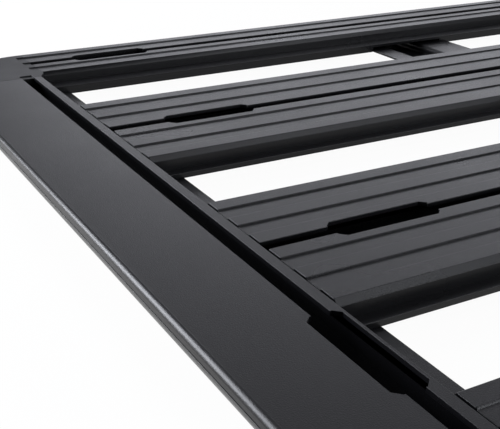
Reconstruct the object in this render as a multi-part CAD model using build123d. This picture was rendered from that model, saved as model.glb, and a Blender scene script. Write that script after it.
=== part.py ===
from build123d import *
import os

# Flat platform roof rack, in millimetres. X runs across the rack, Y along it, Z up.
# The origin is at the middle of the rack, level with the underside of the under bars.
# Depths are measured down from the flat top that every piece shares.

# Layout
WIDTH = 1240.0                 # over the two side rails
PLANK_COUNT = 6
PLANK_PITCH = 208.8
END_BAY = 229.6                # outer face of an end rail to the middle of the nearest plank
BAR_AT = 394.7                 # outer face of a side rail to the edge of the nearer under bar
SEAT_DEPTH = 13.9              # top to the seats that carry the planks
LEDGE_T = 1.8                  # side rail's ledge below that seat
PLANK_END_GAP = 1.5            # side rail's lip to the end of a plank

# Walls shared by the extrusions
PLATE_T = 2.0                  # ribbed top plates
SIDE_WALL = 2.4                # upright side walls
FLOOR_T = 2.4                  # closed undersides
T_WALL = 1.6                   # walls beside a T-slot's cavity
SLOT_LIP_T = 2.6               # lips on either side of a slot's mouth
VALLEY_DEPTH = 0.95            # lower strips between the raised ribs
VALLEY_DRAFT = 0.6             # how far a valley's side leans
SHOULDER_OUT = 3.2             # sloped shoulder beside the outermost rib
SHOULDER_DROP = 3.0

# Side rail
RAIL_FACE_W = 55.1             # outer face to the slot
RAIL_SLOT_W = 9.7
RAIL_CAVITY_W = 18.9
RAIL_LEDGE_W = 20.6
NOSE_WALL = 3.0
NOSE_TOP_R = 3.3
NOSE_BOTTOM_R = 10.5
NOSE_LINE_DEPTH = 5.2          # top to the fine groove along the nose
NOSE_LINE_W = 0.6
NOSE_CUT = 0.5                 # how far that groove goes in

# Slots in the planks and the end rails
SLOT_W = 8.6
CAVITY_W = 18.4

# Entry windows, where a slot's mouth widens to let a bolt head in
WINDOW_L = 66.5
WINDOW_INSET = 0.1             # window edge inside the cavity's wall
WINDOW_CHAMFER = 3.6
WINDOW_START = 42.3            # side rail's lip to the first window of a plank or an end rail
RAIL_WINDOW_BAY = 2            # the bay between planks, from each end, that has a side rail's window

# Plank
FIRST_RIB_W = 11.3             # rib along the slot
RIB_W = 10.9
VALLEY_W = 12.6
VALLEYS_PER_SIDE = 2
FOOT_OUT = 8.3                 # side wall to the edge of the foot
FOOT_T = 3.6

# End rail
END_RIB_W = 8.2                # rib along the slot
END_VALLEY_W = 11.0
OUTER_RIM_W = 11.2
INNER_RIM_W = 6.3
END_LEDGE_W = 16.7
END_LEDGE_DEPTH = 9.0

# Moulded corner
CORNER_R = 74.0
CORNER_PAST_RAIL = 5.2         # side rail's lip to the end rail's joint
CORNER_PAST_END = 10.1         # end rail's inner wall to the side rail's joint
CORNER_BEVEL = 6.2             # along the lower outer edge, beside the rails' round noses
CORNER_TOP_T = 5.0
CORNER_RIM_W = 2.5             # flat rim round the pocket underneath
NOTCH_L = 6.4                  # how far the slots and valleys run on into a corner
SPIGOT_L = 40.0
SPIGOT_FIT = 0.6               # between a spigot and its chamber, all round

# Under bar
BAR_OUTER_FLANGE_W = 20.9      # towards the side rail
BAR_TROUGH_W = 32.0
BAR_INNER_FLANGE_W = 34.8      # towards the middle of the rack
BAR_WALL = 1.6
BAR_H = 9.5
BAR_BEND_R = 2.2               # inside radius of the bends
BAR_END_INSET = 14.0           # end rail's outer face to the end of a bar
BAR_CLEARANCE = 0.3            # beside and over a bar where it passes through an end rail's lip
LIP_STEP_W = 7.0               # strip of the lip left over a bar's inner edge

# Derived sizes
FRAME_H = SEAT_DEPTH + LEDGE_T
TOP_Z = SEAT_DEPTH + BAR_H
LENGTH = 2 * END_BAY + (PLANK_COUNT - 1) * PLANK_PITCH
NOSE_LOWER_R = min(NOSE_BOTTOM_R, 0.95 * (FRAME_H - NOSE_TOP_R))

RAIL_SLOT_AT = RAIL_FACE_W + RAIL_SLOT_W / 2
RAIL_LIP_AT = RAIL_SLOT_AT + RAIL_CAVITY_W / 2 + T_WALL
RAIL_CHAMBER_END = RAIL_SLOT_AT - RAIL_CAVITY_W / 2 - T_WALL

END_SLOT_AT = OUTER_RIM_W + END_VALLEY_W + END_RIB_W + SLOT_W / 2
END_TOP_W = END_SLOT_AT + SLOT_W / 2 + END_RIB_W + END_VALLEY_W + INNER_RIM_W
END_WALL_AT = END_TOP_W + SHOULDER_OUT
END_LIP_AT = END_WALL_AT + END_LEDGE_W
END_LEDGE_UNDER = END_LEDGE_DEPTH + FLOOR_T
END_CHAMBER_TOP = VALLEY_DEPTH + PLATE_T
SLOT_BOX_HALF = CAVITY_W / 2 + T_WALL

CORNER_X = RAIL_LIP_AT + CORNER_PAST_RAIL
CORNER_Y = END_WALL_AT + CORNER_PAST_END

PLANK_L = WIDTH - 2 * (RAIL_LIP_AT + PLANK_END_GAP)
PLANK_TOP_HALF = SLOT_W / 2 + FIRST_RIB_W + VALLEYS_PER_SIDE * (VALLEY_W + RIB_W)
PLANK_WALL_AT = PLANK_TOP_HALF + SHOULDER_OUT
PLANK_FOOT_HALF = PLANK_WALL_AT + FOOT_OUT
PLANK_WINDOW_X = WIDTH / 2 - RAIL_LIP_AT - WINDOW_START - WINDOW_L / 2

BAR_W = BAR_OUTER_FLANGE_W + BAR_TROUGH_W + BAR_INNER_FLANGE_W
BAR_X = WIDTH / 2 - BAR_AT - BAR_W / 2

OVERCUT = 1.0                  # how far a cut starts outside the face that it opens


def plank_y(number):
    """Middle of a plank, counted from the front end rail."""
    return LENGTH / 2 - END_BAY - (number - 1) * PLANK_PITCH


# Sections: first coordinate across the piece, second minus the depth below the top.

def band(start, end, top, bottom):
    """Rectangle between two places across the section and two depths."""
    return Pos((start + end) / 2, -(top + bottom) / 2) * Rectangle(end - start, bottom - top)


def outline(*points):
    """Closed straight-sided area."""
    return Sketch() + make_face(Polyline(*points, close=True))


def rounded(area, corner, radius):
    """The area with its corner nearest to a point rounded."""
    return fillet(area.vertices().sort_by_distance((*corner, 0))[0], radius)


def valley(start, end, grow=0.0):
    """Shallow strip with leaning sides, or the same shape grown into its wall."""
    floor = -(VALLEY_DEPTH + grow)
    return outline(
        (start - grow, OVERCUT),
        (start - grow, 0),
        (start - grow + VALLEY_DRAFT, floor),
        (end + grow - VALLEY_DRAFT, floor),
        (end + grow, 0),
        (end + grow, OVERCUT),
    )


def t_slot(middle, mouth, cavity, floor):
    """Mouth through the lips and the wider cavity under them."""
    neck = band(middle - mouth / 2, middle + mouth / 2, -OVERCUT, SLOT_LIP_T + OVERCUT)
    return neck + band(middle - cavity / 2, middle + cavity / 2, SLOT_LIP_T, floor)


def nose(area):
    """Rounds the outer face of a rail and cuts the fine groove along it."""
    area = rounded(area, (0, 0), NOSE_TOP_R)
    area = rounded(area, (0, -FRAME_H), NOSE_LOWER_R)
    return area - band(-OVERCUT, NOSE_CUT, NOSE_LINE_DEPTH, NOSE_LINE_DEPTH + NOSE_LINE_W)


def nose_chamber(end, top):
    """Closed hollow behind the nose, following its lower curve."""
    bottom = FRAME_H - FLOOR_T
    hollow = band(NOSE_WALL, end, top, bottom)
    return rounded(hollow, (NOSE_WALL, -bottom), min(NOSE_LOWER_R - NOSE_WALL, 0.9 * (bottom - top)))


def side_rail_section():
    """Smooth face, T-slot, lip and ledge, from the outer face inwards."""
    ledge_end = RAIL_LIP_AT + RAIL_LEDGE_W
    area = outline(
        (0, 0),
        (RAIL_LIP_AT, 0),
        (RAIL_LIP_AT, -SEAT_DEPTH),
        (ledge_end, -SEAT_DEPTH),
        (ledge_end, -FRAME_H),
        (0, -FRAME_H),
    )
    area = nose(area)
    area -= nose_chamber(RAIL_CHAMBER_END, SLOT_LIP_T)
    return area - t_slot(RAIL_SLOT_AT, RAIL_SLOT_W, RAIL_CAVITY_W, FRAME_H - FLOOR_T)


def end_rail_section():
    """Ribbed top with its T-slot, inner wall and hooked ledge, from the outer face inwards."""
    area = outline(
        (0, 0),
        (END_TOP_W, 0),
        (END_WALL_AT, -SHOULDER_DROP),
        (END_WALL_AT, -END_LEDGE_DEPTH),
        (END_LIP_AT, -END_LEDGE_DEPTH),
        (END_LIP_AT, -FRAME_H),
        (0, -FRAME_H),
    )
    area = nose(area)
    first_valley = SLOT_W / 2 + END_RIB_W
    for side in (-1, 1):
        edges = sorted((side * first_valley, side * (first_valley + END_VALLEY_W)))
        area -= valley(END_SLOT_AT + edges[0], END_SLOT_AT + edges[1])
    area -= t_slot(END_SLOT_AT, SLOT_W, CAVITY_W, FRAME_H - FLOOR_T)
    area -= nose_chamber(END_SLOT_AT - SLOT_BOX_HALF, END_CHAMBER_TOP)
    area -= band(END_SLOT_AT + SLOT_BOX_HALF, END_WALL_AT - SIDE_WALL,
                 END_CHAMBER_TOP, FRAME_H - FLOOR_T)
    return area - band(END_WALL_AT, END_LIP_AT - SIDE_WALL, END_LEDGE_UNDER, FRAME_H + OVERCUT)


def plank_section():
    """Ribbed hat section with the T-slot's box down its middle, centred on the slot."""
    half = [
        (PLANK_TOP_HALF, 0),
        (PLANK_WALL_AT, -SHOULDER_DROP),
        (PLANK_WALL_AT, FOOT_T - SEAT_DEPTH),
        (PLANK_FOOT_HALF, FOOT_T - SEAT_DEPTH),
        (PLANK_FOOT_HALF, -SEAT_DEPTH),
    ]
    area = outline(*half, *[(-across, up) for across, up in reversed(half)])
    for side in (-1, 1):
        edges = sorted((side * SLOT_BOX_HALF, side * (PLANK_WALL_AT - SIDE_WALL)))
        hollow = band(*edges, PLATE_T, SEAT_DEPTH + OVERCUT)
        for number in range(VALLEYS_PER_SIDE):
            near = SLOT_W / 2 + FIRST_RIB_W + number * (VALLEY_W + RIB_W)
            edges = sorted((side * near, side * (near + VALLEY_W)))
            area -= valley(*edges)
            hollow -= valley(*edges, grow=PLATE_T)
        area -= hollow
    return area - t_slot(0, SLOT_W, CAVITY_W, SEAT_DEPTH - FLOOR_T)


def under_bar_section():
    """Top-hat strip from its outer edge inwards: a narrow flange, the trough and a wide flange."""
    near = BAR_OUTER_FLANGE_W
    far = near + BAR_TROUGH_W
    low = SEAT_DEPTH + BAR_H
    skin = band(0, BAR_W, SEAT_DEPTH, SEAT_DEPTH + BAR_WALL)
    skin += band(near - BAR_WALL, far + BAR_WALL, SEAT_DEPTH, low)
    trough = band(near, far, SEAT_DEPTH - OVERCUT, low - BAR_WALL)
    for inside, outside in ((near, near - BAR_WALL), (far, far + BAR_WALL)):
        skin = rounded(skin, (outside, -low), BAR_BEND_R + BAR_WALL)
        skin = rounded(skin, (outside, -SEAT_DEPTH - BAR_WALL), BAR_BEND_R)
        trough = rounded(trough, (inside, BAR_WALL - low), BAR_BEND_R)
    area = skin - trough
    for inside in (near, far):
        area = rounded(area, (inside, -SEAT_DEPTH), BAR_BEND_R + BAR_WALL)
    return area


# Solids

def along_x(section, middle_y, length):
    """Extrusion across the rack, its section's first axis along +Y."""
    start = Plane(origin=(-length / 2, middle_y, TOP_Z), x_dir=(0, 1, 0), z_dir=(1, 0, 0))
    return extrude(start * section, amount=length)


def along_y(section, middle_x, length):
    """Extrusion along the rack, its section's first axis along +X."""
    start = Plane(origin=(middle_x, length / 2, TOP_Z), x_dir=(1, 0, 0), z_dir=(0, -1, 0))
    return extrude(start * section, amount=length)


def window(x, y, long_x, cavity):
    """Cutter for an entry window over a slot."""
    across = cavity - 2 * WINDOW_INSET
    size = (WINDOW_L, across) if long_x else (across, WINDOW_L)
    plan = Rectangle(*size)
    plan = chamfer(plan.vertices(), WINDOW_CHAMFER)
    return Pos(x, y, TOP_Z - SLOT_LIP_T - OVERCUT) * extrude(plan, amount=SLOT_LIP_T + 2 * OVERCUT)


def side_rail():
    """Left side rail, with its ledge cut back where the end rails' ledges pass."""
    length = LENGTH - 2 * CORNER_Y
    rail = along_y(side_rail_section(), -WIDTH / 2, length)
    window_y = plank_y(RAIL_WINDOW_BAY) - PLANK_PITCH / 2
    for y in (-window_y, window_y):
        rail -= window(RAIL_SLOT_AT - WIDTH / 2, y, False, RAIL_CAVITY_W)
    cope = length / 2 - (LENGTH / 2 - END_LIP_AT)
    ledge_x = RAIL_LIP_AT + RAIL_LEDGE_W / 2 - WIDTH / 2
    for side in (-1, 1):
        ledge_end = Box(RAIL_LEDGE_W, cope, FRAME_H)
        rail -= Pos(ledge_x, side * (length - cope) / 2, TOP_Z - FRAME_H / 2) * ledge_end
    return rail


def end_rail():
    """Rear end rail, its outer face towards -Y, its lip cut away where the under bars pass."""
    rail = along_x(end_rail_section(), -LENGTH / 2, WIDTH - 2 * CORNER_X)
    lip_y = END_LIP_AT - LENGTH / 2
    low_cut = Box(BAR_W + 2 * BAR_CLEARANCE, 2 * SIDE_WALL, 2 * (FRAME_H - SEAT_DEPTH + BAR_CLEARANCE))
    tall_cut = Box(BAR_W - LIP_STEP_W, 2 * SIDE_WALL, 2 * (FRAME_H - END_LEDGE_UNDER))
    for side in (-1, 1):
        rail -= window(side * PLANK_WINDOW_X, END_SLOT_AT - LENGTH / 2, True, CAVITY_W)
        rail -= Pos(side * BAR_X, lip_y, TOP_Z - FRAME_H) * low_cut
        rail -= Pos(side * (BAR_X + LIP_STEP_W / 2), lip_y, TOP_Z - FRAME_H) * tall_cut
    return rail


def plank(number):
    """One plank, seated on the side rails' ledges and the under bars."""
    board = along_x(plank_section(), plank_y(number), PLANK_L)
    for x in (-PLANK_WINDOW_X, PLANK_WINDOW_X):
        board -= window(x, plank_y(number), True, CAVITY_W)
    return board


def under_bar():
    """Left under bar, its flanges ending below the end rails' ledges and its trough running on."""
    length = LENGTH - 2 * BAR_END_INSET
    bar = along_y(under_bar_section(), -BAR_X - BAR_W / 2, length)
    cope = END_WALL_AT - BAR_END_INSET
    for side in (-1, 1):
        above = Box(BAR_W, cope, FRAME_H)
        bar -= Pos(-BAR_X, side * (length - cope) / 2, TOP_Z - FRAME_H / 2) * above
    return bar


def corner_block(start_x, end_x, start_y, end_y, top, bottom):
    """Block in the corner's own axes: in from the outer faces, down from the top."""
    block = Box(end_x - start_x, end_y - start_y, bottom - top)
    return Pos((start_x + end_x) / 2, (start_y + end_y) / 2, -(top + bottom) / 2) * block


def corner():
    """Moulded corner: in from the two outer faces along X and Y, its top at zero."""
    plan = outline(
        (0, 0),
        (CORNER_X, 0),
        (CORNER_X, END_WALL_AT),
        (RAIL_LIP_AT, CORNER_Y),
        (0, CORNER_Y),
    )
    plan = rounded(plan, (0, 0), min(CORNER_R, 0.98 * CORNER_X, 0.98 * CORNER_Y))
    block = extrude(plan, amount=-FRAME_H)
    outer = [edge for edge in block.edges() if on_outer_face(edge)]
    block = fillet([edge for edge in outer if edge.center().Z > -FRAME_H / 2], NOSE_TOP_R)
    outer = [edge for edge in block.edges() if on_outer_face(edge)]
    block = chamfer([edge for edge in outer if edge.center().Z < -FRAME_H + OVERCUT], CORNER_BEVEL)
    pocket = offset(plan, amount=-CORNER_BEVEL - CORNER_RIM_W)
    block -= Pos(0, 0, -FRAME_H) * extrude(pocket, amount=FRAME_H - CORNER_TOP_T)
    return block + spigots() - notches()


def on_outer_face(edge):
    """Whether an edge runs level along the rounded outside of a corner."""
    box = edge.bounding_box()
    level = box.max.Z - box.min.Z < OVERCUT / 2
    middle = edge @ 0.5
    straight = min(middle.X, middle.Y) < OVERCUT
    return level and (straight or edge.geom_type == GeomType.CIRCLE)


def spigots():
    """Tongues that plug into the chambers of the side rail and the end rail."""
    bottom = FRAME_H - FLOOR_T - SPIGOT_FIT
    start = NOSE_LOWER_R + SPIGOT_FIT
    into_rail = corner_block(start, RAIL_CHAMBER_END - SPIGOT_FIT,
                             CORNER_Y, CORNER_Y + SPIGOT_L, SLOT_LIP_T + SPIGOT_FIT, bottom)
    top = END_CHAMBER_TOP + SPIGOT_FIT
    into_nose = corner_block(CORNER_X, CORNER_X + SPIGOT_L,
                             start, END_SLOT_AT - SLOT_BOX_HALF - SPIGOT_FIT, top, bottom)
    into_wall = corner_block(CORNER_X, CORNER_X + SPIGOT_L,
                             END_SLOT_AT + SLOT_BOX_HALF + SPIGOT_FIT,
                             END_WALL_AT - SIDE_WALL - SPIGOT_FIT, top, bottom)
    return into_rail + into_nose + into_wall


def notches():
    """Short runs of the rails' slots and valleys, ended inside the corner."""
    rail_half = RAIL_SLOT_W / 2
    cut = corner_block(RAIL_SLOT_AT - rail_half, RAIL_SLOT_AT + rail_half,
                       CORNER_Y - NOTCH_L, CORNER_Y + OVERCUT, -OVERCUT, VALLEY_DEPTH)
    end_half = SLOT_W / 2
    cut += corner_block(CORNER_X - NOTCH_L, CORNER_X + OVERCUT,
                        END_SLOT_AT - end_half, END_SLOT_AT + end_half, -OVERCUT, VALLEY_DEPTH)
    first = end_half + END_RIB_W
    for side in (-1, 1):
        edges = sorted((side * first, side * (first + END_VALLEY_W)))
        cut += corner_block(CORNER_X - NOTCH_L, CORNER_X + OVERCUT,
                            END_SLOT_AT + edges[0], END_SLOT_AT + edges[1], -OVERCUT, VALLEY_DEPTH)
    return cut


def write(name, shape):
    """One file for one named piece."""
    export_step(shape, f"parts/{name}.step")


os.makedirs("parts", exist_ok=True)

left_rail = side_rail()
write("side_rail_left", left_rail)
write("side_rail_right", mirror(left_rail, about=Plane.YZ))

rear_rail = end_rail()
write("end_rail_rear", rear_rail)
write("end_rail_front", mirror(rear_rail, about=Plane.XZ))

rear_left = Pos(-WIDTH / 2, -LENGTH / 2, TOP_Z) * corner()
front_left = mirror(rear_left, about=Plane.XZ)
write("corner_rear_left", rear_left)
write("corner_front_left", front_left)
write("corner_rear_right", mirror(rear_left, about=Plane.YZ))
write("corner_front_right", mirror(front_left, about=Plane.YZ))

for number in range(1, PLANK_COUNT + 1):
    write(f"plank_{number}", plank(number))

left_bar = under_bar()
write("under_bar_left", left_bar)
write("under_bar_right", mirror(left_bar, about=Plane.YZ))
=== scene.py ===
"""Dresses and lights a flat platform roof rack: satin powder coat, moulded corners, screws, studio."""
import math

import bmesh
import bpy
from mathutils import Matrix, Vector


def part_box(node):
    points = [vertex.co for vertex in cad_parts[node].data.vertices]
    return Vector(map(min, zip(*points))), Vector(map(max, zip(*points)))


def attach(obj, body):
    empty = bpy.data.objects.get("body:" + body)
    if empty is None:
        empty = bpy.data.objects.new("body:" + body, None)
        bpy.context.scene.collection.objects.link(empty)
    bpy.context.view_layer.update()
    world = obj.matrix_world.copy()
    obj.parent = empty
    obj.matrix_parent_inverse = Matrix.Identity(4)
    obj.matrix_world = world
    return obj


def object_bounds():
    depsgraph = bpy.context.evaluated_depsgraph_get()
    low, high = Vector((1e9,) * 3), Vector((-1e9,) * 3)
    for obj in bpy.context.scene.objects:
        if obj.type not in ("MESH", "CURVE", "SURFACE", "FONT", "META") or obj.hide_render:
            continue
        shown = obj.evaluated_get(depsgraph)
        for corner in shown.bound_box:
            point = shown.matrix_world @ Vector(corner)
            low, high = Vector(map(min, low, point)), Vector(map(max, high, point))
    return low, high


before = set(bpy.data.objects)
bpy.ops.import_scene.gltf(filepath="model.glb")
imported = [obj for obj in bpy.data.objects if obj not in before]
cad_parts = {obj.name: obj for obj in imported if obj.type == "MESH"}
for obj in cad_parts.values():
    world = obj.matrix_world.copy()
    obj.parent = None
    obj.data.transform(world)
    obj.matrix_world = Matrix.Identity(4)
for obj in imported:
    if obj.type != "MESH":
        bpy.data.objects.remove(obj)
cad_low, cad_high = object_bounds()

# Camera, set out from the rack's left side, front end and top, in metres and degrees
EYE_OUTSIDE_LEFT = 0.1417
EYE_BEHIND_FRONT = 0.8087
EYE_ABOVE_TOP = 0.2039
EYE_HEADING = 29.06
EYE_PITCH = 23.61
EYE_ROLL = 0.356
LENS_MM = 68.03
SENSOR_MM = 36.0
NEAREST_SEEN = 0.01

# Edges: points this close are one, faces this flat are joined, and sharper outer edges are rounded
WELD = 0.00001
FLAT_ANGLE = math.radians(0.4)
EDGE_ANGLE = math.radians(32)
EDGE_ROUND = 0.00035
EDGE_SEGMENTS = 2

# Finishes: tones as stops of (noise value, colour), noise as (scale, detail), bump as (strength, metres)
NOISE_RANGE = (0.3, 0.7)
COAT_TONES = [(0.35, (0.004, 0.004, 0.0046, 1.0)), (0.65, (0.0065, 0.0065, 0.0074, 1.0))]
COAT_ROUGHNESS = (0.27, 0.32)
COAT_SPECULAR = 0.19
COAT_CLOUD = (14.0, 3.0)
COAT_GRAIN = (1500.0, 4.0)
COAT_GRAIN_BUMP = (0.32, 0.00032)
NYLON_TONES = [(0.35, (0.009, 0.009, 0.010, 1.0)), (0.65, (0.013, 0.013, 0.014, 1.0))]
NYLON_ROUGHNESS = (0.38, 0.46)
NYLON_SPECULAR = 0.20
NYLON_CLOUD = (30.0, 2.0)
NYLON_GRAIN = (1600.0, 3.0)
NYLON_GRAIN_BUMP = (0.25, 0.0002)
STEEL_TONES = [(0.40, (0.10, 0.10, 0.105, 1.0)), (0.65, (0.16, 0.16, 0.165, 1.0))]
STEEL_ROUGHNESS = (0.35, 0.50)
STEEL_WEAR = (700.0, 4.0)

# Streaks that drawing leaves on an extrusion, much closer across it than along it
STREAKS_ALONG = 1.0
STREAKS_ACROSS = 220.0
STREAK_NOISE = (1.0, 3.0)
STREAK_BUMP = (0.03, 0.0003)

# Side rails' slots, set out from the rack's sides and top, where the faces inside get a near-zero specular
# level: painted shade that keeps the slots dark
SLOT_SHADE_SPECULAR = 0.02
SLOT_FROM_SIDE = 0.05995
SLOT_HALF = 0.0096
SLOT_FROM_TOP = 0.0006

# Screws under the rack: places in from a plank's foot edge and from the edges of what carries it
SCREW_FROM_FOOT = 0.0042
SCREW_FROM_LEDGE = 0.0100
SCREW_FROM_FLANGE_OUTER = 0.0095
SCREW_FROM_FLANGE_INNER = 0.0160
FLANGE_T = 0.0016
# One head as round rings and its socket as hexagons, each (radius, drop) in millimetres
HEAD_RINGS = [(5.4, 0.0), (5.4, 0.7), (4.9, 1.6), (3.9, 2.3), (2.7, 2.6)]
SOCKET_RINGS = [(2.3, 2.6), (2.3, 1.1)]
SCREW_SIDES = 18
MM = 0.001

# Floor
FLOOR_SIZE = 200.0
FLOOR_COLOUR = (0.80, 0.80, 0.80, 1.0)
FLOOR_SELF_LIT = 0.965

# World: brightness as stops of (how far a heading points up or to a side, level)
SKY_TINT = (0.955, 0.965, 1.04, 1.0)
UP = (0.0, 0.0, 1.0)
FAR_SIDE = (0.40, 0.917, 0.0)
FAR_STOPS = [(0.0, 0.12), (0.30, 0.25), (0.60, 0.85), (0.80, 1.0)]
WALL_STOPS = [(0.36, 0.04), (0.43, 0.12), (0.54, 0.95), (0.65, 1.40), (0.80, 0.50)]
WINDOW_SIDE = (0.707, 0.0, -0.707)
WINDOW_EDGE = (-0.05, 0.02)
WINDOW_STOPS = [(0.11, 0.45), (0.17, 1.30), (0.24, 2.10), (0.335, 2.75), (0.345, 0.50), (0.46, 0.08)]

# Soft boxes as (place, point aimed at, width and height, watts), in metres
LAMP_TINT = (0.91, 0.935, 1.0)
SOFT_BOXES = {
    "left_box": ((-1.77, 1.75, 0.62), (-0.62, 0.25, 0.02), (1.6, 1.1), 88.0),
    "top_box": ((0.60, -0.40, 1.70), (-0.30, 0.35, 0.0), (1.2, 1.2), 18.0),
    "rim_box": ((0.63, -1.34, 0.34), (-0.25, 0.40, 0.02), (1.6, 0.5), 20.0),
}


def add_object(name, data):
    """New object in the scene."""
    thing = bpy.data.objects.new(name, data)
    bpy.context.collection.objects.link(thing)
    return thing


def new_material(name):
    """New material, its node tree and its shader."""
    material = bpy.data.materials.new(name)
    material.use_nodes = True
    tree = material.node_tree
    return material, tree, tree.nodes["Principled BSDF"]


def object_place(tree):
    """Where a point lies in the rack's frame, in metres."""
    return tree.nodes.new("ShaderNodeTexCoord").outputs["Object"]


def calculate(tree, operation, *values):
    """Result of a math operation on sockets and plain numbers."""
    node = tree.nodes.new("ShaderNodeMath")
    node.operation = operation
    for socket, value in zip(node.inputs, values):
        if isinstance(value, float):
            socket.default_value = value
        else:
            tree.links.new(value, socket)
    return node.outputs["Value"]


def rescale(tree, value, old_range, new_range):
    """A value moved from one range to another and kept inside it."""
    node = tree.nodes.new("ShaderNodeMapRange")
    for name, limit in zip(("From Min", "From Max", "To Min", "To Max"), (*old_range, *new_range)):
        node.inputs[name].default_value = limit
    tree.links.new(value, node.inputs["Value"])
    return node.outputs["Result"]


def noise(tree, place, kind):
    """Noise of a kind, (scale, detail), over a place."""
    node = tree.nodes.new("ShaderNodeTexNoise")
    node.inputs["Scale"].default_value, node.inputs["Detail"].default_value = kind
    tree.links.new(place, node.inputs["Vector"])
    return node.outputs["Fac"]


def ramp(tree, value, stops):
    """Colour read from stops of (value, colour)."""
    node = tree.nodes.new("ShaderNodeValToRGB")
    elements = node.color_ramp.elements
    while len(elements) < len(stops):
        elements.new(1.0)
    for element, (position, colour) in zip(elements, stops):
        element.position = position
        element.color = colour
    tree.links.new(value, node.inputs["Fac"])
    return node.outputs["Color"]


def bump(tree, height, kind, earlier=None):
    """Surface normal from a bump of a kind, (strength, height), on top of an earlier one."""
    node = tree.nodes.new("ShaderNodeBump")
    node.inputs["Strength"].default_value, node.inputs["Distance"].default_value = kind
    tree.links.new(height, node.inputs["Height"])
    if earlier:
        tree.links.new(earlier, node.inputs["Normal"])
    return node.outputs["Normal"]


def powder_coat(name, drawn_along, specular):
    """Satin black powder coat over a drawn extrusion: fine grain, faint streaks along its length."""
    material, tree, shader = new_material(name)
    place = object_place(tree)
    stretch = tree.nodes.new("ShaderNodeMapping")
    stretch.inputs["Scale"].default_value = [
        STREAKS_ALONG if axis == drawn_along else STREAKS_ACROSS for axis in "XYZ"]
    tree.links.new(place, stretch.inputs["Vector"])
    streaks = noise(tree, stretch.outputs["Vector"], STREAK_NOISE)
    grain = noise(tree, place, COAT_GRAIN)
    cloud = noise(tree, place, COAT_CLOUD)
    streaked = bump(tree, streaks, STREAK_BUMP)
    tree.links.new(ramp(tree, grain, COAT_TONES), shader.inputs["Base Color"])
    tree.links.new(rescale(tree, cloud, NOISE_RANGE, COAT_ROUGHNESS), shader.inputs["Roughness"])
    tree.links.new(bump(tree, grain, COAT_GRAIN_BUMP, streaked), shader.inputs["Normal"])
    shader.inputs["Specular IOR Level"].default_value = specular
    return material


def moulded_nylon(name):
    """Matt black moulding with a fine spark-eroded grain."""
    material, tree, shader = new_material(name)
    place = object_place(tree)
    grain = noise(tree, place, NYLON_GRAIN)
    cloud = noise(tree, place, NYLON_CLOUD)
    tree.links.new(ramp(tree, cloud, NYLON_TONES), shader.inputs["Base Color"])
    tree.links.new(rescale(tree, cloud, NOISE_RANGE, NYLON_ROUGHNESS), shader.inputs["Roughness"])
    tree.links.new(bump(tree, grain, NYLON_GRAIN_BUMP), shader.inputs["Normal"])
    shader.inputs["Specular IOR Level"].default_value = NYLON_SPECULAR
    return material


def dark_steel(name):
    """Blackened steel of the screws, worn a little in patches."""
    material, tree, shader = new_material(name)
    wear = noise(tree, object_place(tree), STEEL_WEAR)
    tree.links.new(ramp(tree, wear, STEEL_TONES), shader.inputs["Base Color"])
    tree.links.new(rescale(tree, wear, NOISE_RANGE, STEEL_ROUGHNESS), shader.inputs["Roughness"])
    shader.inputs["Metallic"].default_value = 1.0
    return material


def mesh_step(name, kind):
    """Geometry nodes with one step between the mesh that comes in and the mesh that goes out."""
    group = bpy.data.node_groups.new(name, "GeometryNodeTree")
    for way in ("INPUT", "OUTPUT"):
        group.interface.new_socket("Geometry", in_out=way, socket_type="NodeSocketGeometry")
    step = group.nodes.new(kind)
    group.links.new(group.nodes.new("NodeGroupInput").outputs["Geometry"], step.inputs["Geometry"])
    group.links.new(step.outputs["Geometry"], group.nodes.new("NodeGroupOutput").inputs["Geometry"])
    return group, step


def outer_edges():
    """Geometry nodes that mark the edges that stand out, for rounding; inner corners stay sharp."""
    group, mark = mesh_step("outer_edges", "GeometryNodeStoreNamedAttribute")
    mark.data_type = "FLOAT"
    mark.domain = "EDGE"
    mark.inputs["Name"].default_value = "bevel_weight_edge"
    angle = group.nodes.new("GeometryNodeInputMeshEdgeAngle").outputs["Signed Angle"]
    group.links.new(calculate(group, "GREATER_THAN", angle, EDGE_ANGLE), mark.inputs["Value"])
    return group


def slot_shade_faces(material):
    """Geometry nodes that give the faces inside the side rails' slots a near-zero specular level, painted
    shade.
    """
    group, paint = mesh_step("slot_shade_faces", "GeometryNodeSetMaterial")
    paint.inputs["Material"].default_value = material
    place = group.nodes.new("ShaderNodeSeparateXYZ")
    group.links.new(group.nodes.new("GeometryNodeInputPosition").outputs["Position"], place.inputs["Vector"])
    from_middle = calculate(group, "ABSOLUTE", place.outputs["X"])
    near = calculate(group, "COMPARE", from_middle, cad_high.x - SLOT_FROM_SIDE, SLOT_HALF)
    under = calculate(group, "LESS_THAN", place.outputs["Z"], cad_high.z - SLOT_FROM_TOP)
    group.links.new(calculate(group, "MULTIPLY", near, under), paint.inputs["Selection"])
    return group


def finish_node(node, material, marks):
    """Gives a CAD node its finish and small rounded edges."""
    node.data.materials.clear()
    node.data.materials.append(material)
    weld = node.modifiers.new("weld", "WELD")
    weld.merge_threshold = WELD
    flats = node.modifiers.new("flats", "DECIMATE")
    flats.decimate_type = "DISSOLVE"
    flats.angle_limit = FLAT_ANGLE
    node.modifiers.new("marks", "NODES").node_group = marks
    edges = node.modifiers.new("edges", "BEVEL")
    edges.width = EDGE_ROUND
    edges.segments = EDGE_SEGMENTS
    edges.limit_method = "WEIGHT"
    edges.harden_normals = True
    edges.use_clamp_overlap = True


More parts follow.
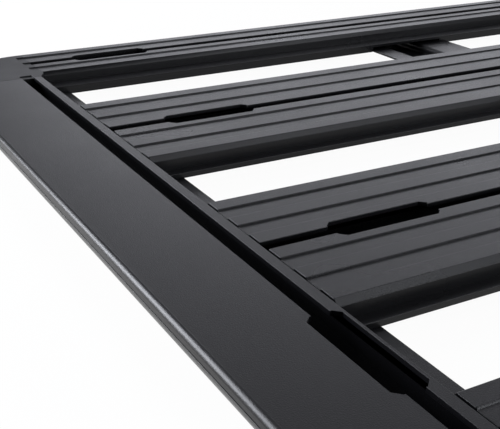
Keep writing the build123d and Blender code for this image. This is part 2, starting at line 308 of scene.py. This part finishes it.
def dress_nodes():
    """Finishes every CAD node by the piece that it is."""
    across = powder_coat("powder_coat_across", "X", COAT_SPECULAR)
    along = powder_coat("powder_coat_along", "Y", COAT_SPECULAR)
    # the same coat with a near-zero specular level, painted shade for the inside of the slots
    slot_shade_coat = powder_coat("coat_with_painted_shade_in_slots", "Y", SLOT_SHADE_SPECULAR)
    nylon = moulded_nylon("moulded_nylon")
    marks = outer_edges()
    slots = slot_shade_faces(slot_shade_coat)
    for name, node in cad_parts.items():
        if name.startswith("corner"):
            finish_node(node, nylon, marks)
        elif name.startswith(("plank", "end_rail")):
            finish_node(node, across, marks)
        else:
            finish_node(node, along, marks)
        # the faces inside the side rails' slots get the painted shade coat
        if name.startswith("side_rail"):
            node.data.materials.append(slot_shade_coat)
            node.modifiers.new("slots", "NODES").node_group = slots


def screw_ring(mesh, seat, radius, drop, hexagon):
    """Points in a circle or a hexagon round a screw's middle, at a drop below its seat."""
    ring = []
    for step in range(SCREW_SIDES):
        turn = 2 * math.pi * step / SCREW_SIDES
        from_flat = turn % (math.pi / 3) - math.pi / 6
        reach = radius * math.cos(math.pi / 6) / math.cos(from_flat) if hexagon else radius
        spot = Vector((reach * math.cos(turn), reach * math.sin(turn), -drop)) * MM
        ring.append(mesh.verts.new(spot + seat))
    return ring


def screw_head(mesh, seat):
    """Adds one button head with a hexagon socket, hung below its seat."""
    rings = [screw_ring(mesh, seat, radius, drop, False) for radius, drop in HEAD_RINGS]
    rings += [screw_ring(mesh, seat, radius, drop, True) for radius, drop in SOCKET_RINGS]
    for upper, lower in zip(rings, rings[1:]):
        for step in range(SCREW_SIDES):
            after = (step + 1) % SCREW_SIDES
            mesh.faces.new((upper[step], lower[step], lower[after], upper[after]))
    mesh.faces.new(rings[-1])


def screw_seats():
    """Seats of the screws that hold the planks' feet to the ledges and to the under bars."""
    columns = []
    for side, inwards in (("left", 1), ("right", -1)):
        low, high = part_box(f"side_rail_{side}")
        inner = high.x if inwards > 0 else low.x
        columns.append((inner - inwards * SCREW_FROM_LEDGE, low.z))
        low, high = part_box(f"under_bar_{side}")
        outer, inner = (low.x, high.x) if inwards > 0 else (high.x, low.x)
        columns.append((outer + inwards * SCREW_FROM_FLANGE_OUTER, high.z - FLANGE_T))
        columns.append((inner - inwards * SCREW_FROM_FLANGE_INNER, high.z - FLANGE_T))
    seats = []
    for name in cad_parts:
        if name.startswith("plank"):
            low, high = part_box(name)
            for y in (low.y + SCREW_FROM_FOOT, high.y - SCREW_FROM_FOOT):
                seats += [Vector((x, y, z)) for x, z in columns]
    return seats


def add_screws(name, material):
    """One piece with a screw head at every seat, carried by the rack."""
    mesh = bmesh.new()
    for seat in screw_seats():
        screw_head(mesh, seat)
    bmesh.ops.recalc_face_normals(mesh, faces=mesh.faces)
    data = bpy.data.meshes.new(name)
    mesh.to_mesh(data)
    mesh.free()
    data.materials.append(material)
    piece = add_object(name, data)
    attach(piece, "root")


def set_camera():
    """Camera at the photograph's place and angle."""
    data = bpy.data.cameras.new("camera")
    data.lens = LENS_MM
    data.sensor_width = SENSOR_MM
    data.sensor_fit = "HORIZONTAL"
    data.clip_start = NEAREST_SEEN
    place = Vector((cad_low.x - EYE_OUTSIDE_LEFT, cad_high.y - EYE_BEHIND_FRONT, cad_high.z + EYE_ABOVE_TOP))
    turn = (Matrix.Rotation(math.radians(-EYE_HEADING), 4, "Z")
            @ Matrix.Rotation(math.radians(90 - EYE_PITCH), 4, "X")
            @ Matrix.Rotation(math.radians(EYE_ROLL), 4, "Z"))
    camera = add_object("camera", data)
    camera.matrix_world = Matrix.Translation(place) @ turn
    bpy.context.scene.camera = camera


def seen_directly(tree):
    """1 for camera, glossy and transmission rays, 0 for the rest."""
    path = tree.nodes.new("ShaderNodeLightPath")
    seen = path.outputs["Is Camera Ray"]
    for name in ("Is Glossy Ray", "Is Transmission Ray"):
        seen = calculate(tree, "MAXIMUM", seen, path.outputs[name])
    return seen


def white_floor():
    """Pale floor that shows white and keeps a soft shadow."""
    bpy.ops.mesh.primitive_plane_add(size=FLOOR_SIZE)
    floor = bpy.context.object
    floor.name = "floor"
    material, tree, _ = new_material("white_floor")
    tree.nodes.clear()
    matt = tree.nodes.new("ShaderNodeBsdfDiffuse")
    matt.inputs["Color"].default_value = FLOOR_COLOUR
    glow = tree.nodes.new("ShaderNodeEmission")
    mix = tree.nodes.new("ShaderNodeMixShader")
    tree.links.new(calculate(tree, "MULTIPLY", seen_directly(tree), FLOOR_SELF_LIT), mix.inputs["Fac"])
    tree.links.new(matt.outputs["BSDF"], mix.inputs[1])
    tree.links.new(glow.outputs["Emission"], mix.inputs[2])
    out = tree.nodes.new("ShaderNodeOutputMaterial")
    tree.links.new(mix.outputs["Shader"], out.inputs["Surface"])
    floor.data.materials.append(material)


def towards(tree, heading, side):
    """How far a heading points to one side."""
    node = tree.nodes.new("ShaderNodeVectorMath")
    node.operation = "DOT_PRODUCT"
    node.inputs[1].default_value = side
    tree.links.new(heading, node.inputs[0])
    return node.outputs["Value"]


def levels(tree, value, stops):
    """Brightness read from stops of (value, level)."""
    return ramp(tree, value, [(position, (level, level, level, 1.0)) for position, level in stops])


def studio_world():
    """Studio walls, plain beyond the rack's front and dim behind the camera, with a low bright window."""
    world = bpy.data.worlds.new("studio")
    bpy.context.scene.world = world
    world.use_nodes = True
    tree = world.node_tree
    heading = tree.nodes.new("ShaderNodeTexCoord").outputs["Generated"]
    height = towards(tree, heading, UP)
    edge = rescale(tree, towards(tree, heading, WINDOW_SIDE), WINDOW_EDGE, (0.0, 1.0))
    window = calculate(tree, "MULTIPLY", levels(tree, height, WINDOW_STOPS), edge)
    walls = calculate(tree, "ADD", window, levels(tree, height, WALL_STOPS))
    far = levels(tree, towards(tree, heading, FAR_SIDE), FAR_STOPS)
    background = tree.nodes["Background"]
    background.inputs["Color"].default_value = SKY_TINT
    tree.links.new(calculate(tree, "MULTIPLY", walls, far), background.inputs["Strength"])


def soft_box(name, place, target, size, watts):
    """Oblong area lamp aimed at a point."""
    data = bpy.data.lights.new(name, "AREA")
    data.shape = "RECTANGLE"
    data.size, data.size_y = size
    data.energy = watts
    data.color = LAMP_TINT
    lamp = add_object(name, data)
    lamp.visible_camera = False
    lamp.location = place
    lamp.rotation_euler = (Vector(target) - Vector(place)).to_track_quat("-Z", "Y").to_euler()


dress_nodes()
add_screws("screws", dark_steel("dark_steel"))
set_camera()
white_floor()
studio_world()
for box_name, setting in SOFT_BOXES.items():
    soft_box(box_name, *setting)

bpy.context.scene.view_settings.view_transform = "Standard"
